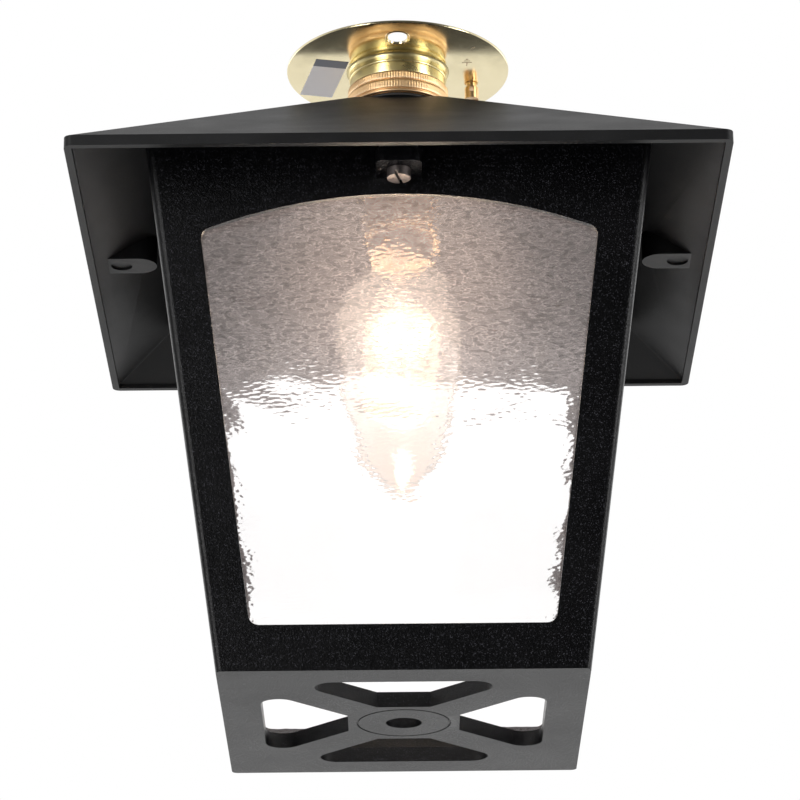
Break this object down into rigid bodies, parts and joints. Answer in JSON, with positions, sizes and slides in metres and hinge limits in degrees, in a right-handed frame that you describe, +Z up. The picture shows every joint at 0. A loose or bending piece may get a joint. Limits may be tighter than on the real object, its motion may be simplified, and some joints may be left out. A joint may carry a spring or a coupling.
{
  "type": "porch ceiling lantern",
  "caption": "Square ceiling lantern: a cast pyramid roof and tapered glazed body hung from a brass bayonet lampholder on a round ceiling plate, with a large clear candle lamp.",
  "frame": {"origin": "centre of the ceiling plate's top face, on the line between the two fixing slots", "axes": "+Z up into the ceiling, -Y the front that the picture shows, +X the side with the earth post"},
  "size_m": [0.22, 0.22, 0.2458],
  "materials": {
    "plate_brass": "polished pale brass",
    "ring_brass": "turned orange brass",
    "cap_brass": "satin",
    "label_paper": "matte paper",
    "porcelain": "glazed",
    "bright_steel": "satin zinc plate",
    "washer_rubber": "matte",
    "roof_black": "black powder coat on a casting",
    "body_black": "sparkling black powder coat on a casting",
    "rippled_glass": "clear, rippled",
    "bulb_glass": "clear",
    "cap_black": "gloss black",
    "solder": "dull solder",
    "hot_filament": "glowing wire"
  },
  "bodies": {
    "holder": {"ceiling_plate": "plate_brass", "plain_label": "label_paper", "earth_post": "ring_brass", "earth_screw": "ring_brass", "holder_cover": "plate_brass", "barrel_ring": "ring_brass", "holder_barrel": "ring_brass", "insulating_core": "porcelain", "front_terminal": "ring_brass", "front_terminal_screw": "bright_steel", "front_spring": "bright_steel", "back_terminal": "ring_brass", "back_terminal_screw": "bright_steel", "back_spring": "bright_steel", "upper_shade_ring": "ring_brass"},
    "contact_plungers": {"front_plunger": "ring_brass", "back_plunger": "ring_brass"},
    "lamp": {"lamp_cap": "cap_brass", "cap_insulator": "cap_black", "cap_contacts": "solder", "lamp_glass": "bulb_glass", "lamp_stem": "bulb_glass", "support_wires": "bright_steel", "filament": "hot_filament"},
    "washers": {"upper_washer": "washer_rubber", "lower_washer": "washer_rubber"},
    "shade_ring": {"lower_shade_ring": "ring_brass"},
    "lantern": {"roof": "roof_black", "body": "body_black", "front_body_screw": "bright_steel", "back_body_screw": "bright_steel", "front_pane": "rippled_glass", "front_clips": "bright_steel", "front_clip_screws": "bright_steel", "right_pane": "rippled_glass", "right_clips": "bright_steel", "right_clip_screws": "bright_steel", "back_pane": "rippled_glass", "back_clips": "bright_steel", "back_clip_screws": "bright_steel", "left_pane": "rippled_glass", "left_clips": "bright_steel", "left_clip_screws": "bright_steel"}
  },
  "joints": [
    {"name": "lamp_push", "type": "slide", "parent": "holder", "child": "contact_plungers", "axis": [0, 0, 1], "range_m": [0, 0.002], "stiffness_N_per_m": 1500, "springref_m": -0.003, "deforming": ["front_spring", "back_spring"]},
    {"name": "lamp_twist", "type": "hinge", "parent": "contact_plungers", "child": "lamp", "pos_m": [0, 0, -0.0585], "axis": [0, 0, -1], "range_deg": [0, 20]},
    {"name": "lantern_lower", "type": "slide", "parent": "holder", "child": "washers", "axis": [0, 0, -1], "range_m": [0, 0.01]},
    {"name": "shade_ring_turn", "type": "hinge", "parent": "washers", "child": "shade_ring", "pos_m": [0, 0, -0.0283], "axis": [0, 0, -1], "range_deg": [0, 1800]},
    {"name": "lantern_swivel", "type": "hinge", "parent": "washers", "child": "lantern", "pos_m": [0, 0, -0.0178], "axis": [0, 0, 1], "continuous": true}
  ],
  "couplings": [
    {"joint": "lamp_twist", "follows": "lamp_push", "rad_per_m": 174.5},
    {"joint": "shade_ring_turn", "follows": "lantern_lower", "rad_per_m": 3141.6}
  ]
}
